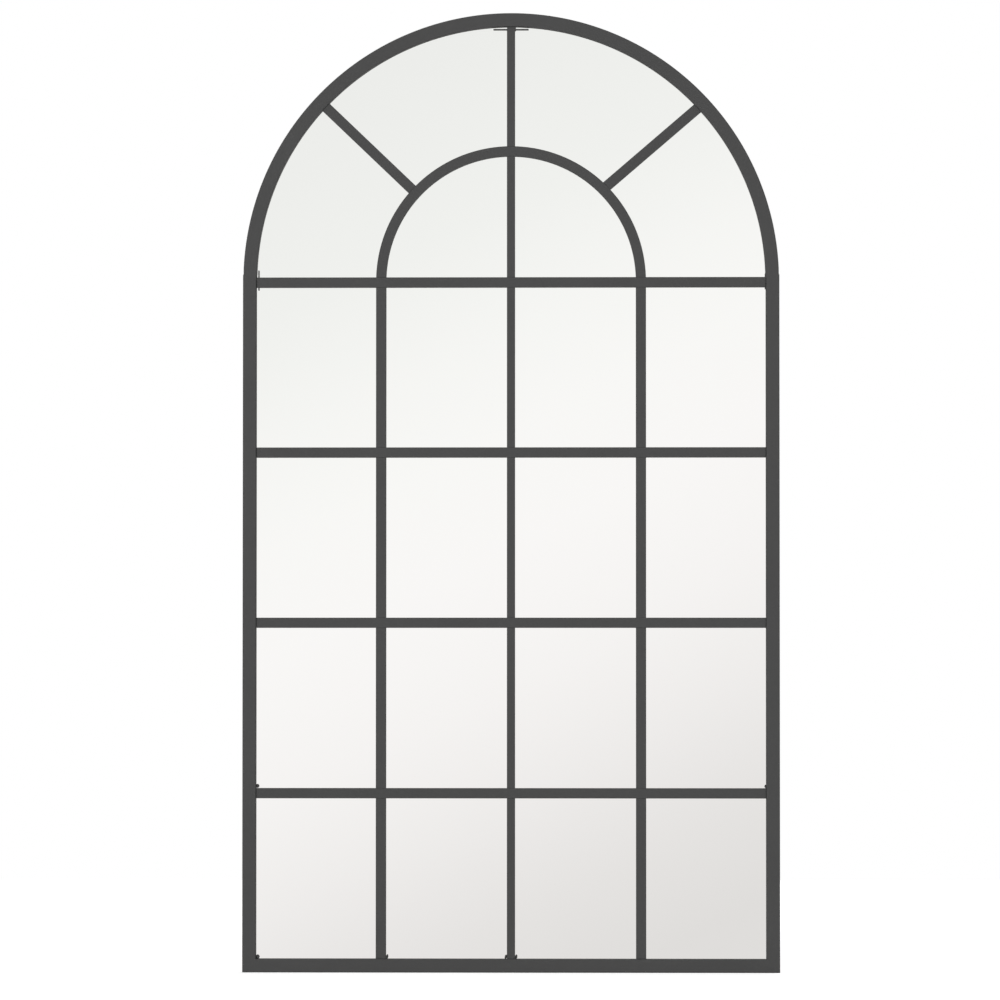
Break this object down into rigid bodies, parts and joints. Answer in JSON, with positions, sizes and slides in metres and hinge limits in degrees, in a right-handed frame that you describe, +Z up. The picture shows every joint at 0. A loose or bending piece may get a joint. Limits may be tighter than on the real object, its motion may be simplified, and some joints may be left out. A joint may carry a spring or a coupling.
{
  "type": "arched window mirror",
  "caption": "Tall arched mirror with a square-tube metal frame, a window grille and fanlight in front of the glass, a board back and swinging hanging rings.",
  "frame": {"origin": "middle of the underside of the bottom rail, at the middle of the tube's depth", "axes": "+X to the right seen from the front, +Y to the back, +Z up to the crown"},
  "size_m": [1, 0.0354, 1.7869],
  "materials": {
    "powder_coat": "satin charcoal powder coat",
    "mirror_glass": "clear silvered glass, seamed edge",
    "hardboard": "raw tempered hardboard",
    "black_rubber": "matt",
    "foam_tape": "matt closed-cell foam",
    "zinc_steel": "bright zinc plate",
    "nickel_steel": "nickel plate"
  },
  "bodies": {
    "frame": {"arch_rail": "powder_coat", "left_stile": "powder_coat", "right_stile": "powder_coat", "bottom_rail": "powder_coat", "springing_bar": "powder_coat", "cross_bar_upper": "powder_coat", "cross_bar_middle": "powder_coat", "cross_bar_lower": "powder_coat", "centre_bar": "powder_coat", "left_bar": "powder_coat", "right_bar": "powder_coat", "inner_arch": "powder_coat", "left_spoke": "powder_coat", "right_spoke": "powder_coat", "crown_plate": "powder_coat", "springing_plates": "powder_coat", "mirror_glass": "mirror_glass", "edge_gasket": "black_rubber", "glazing_tape": "foam_tape", "mounting_tape": "foam_tape", "backing_board": "hardboard", "retaining_clips": "zinc_steel", "clip_screws": "zinc_steel", "strap_hangers": "nickel_steel", "hanger_screws": "zinc_steel", "wall_bumpers": "black_rubber", "bumper_screws": "zinc_steel"},
    "left_ring": {"left_ring": "nickel_steel"},
    "right_ring": {"right_ring": "nickel_steel"}
  },
  "joints": [
    {"name": "left_ring_swing", "type": "hinge", "parent": "frame", "child": "left_ring", "pos_m": [-0.4873, 0.016, 1.2], "axis": [1, 0, 0], "range_deg": [0, 175]},
    {"name": "right_ring_swing", "type": "hinge", "parent": "frame", "child": "right_ring", "pos_m": [0.4873, 0.016, 1.2], "axis": [1, 0, 0], "range_deg": [0, 175]}
  ]
}
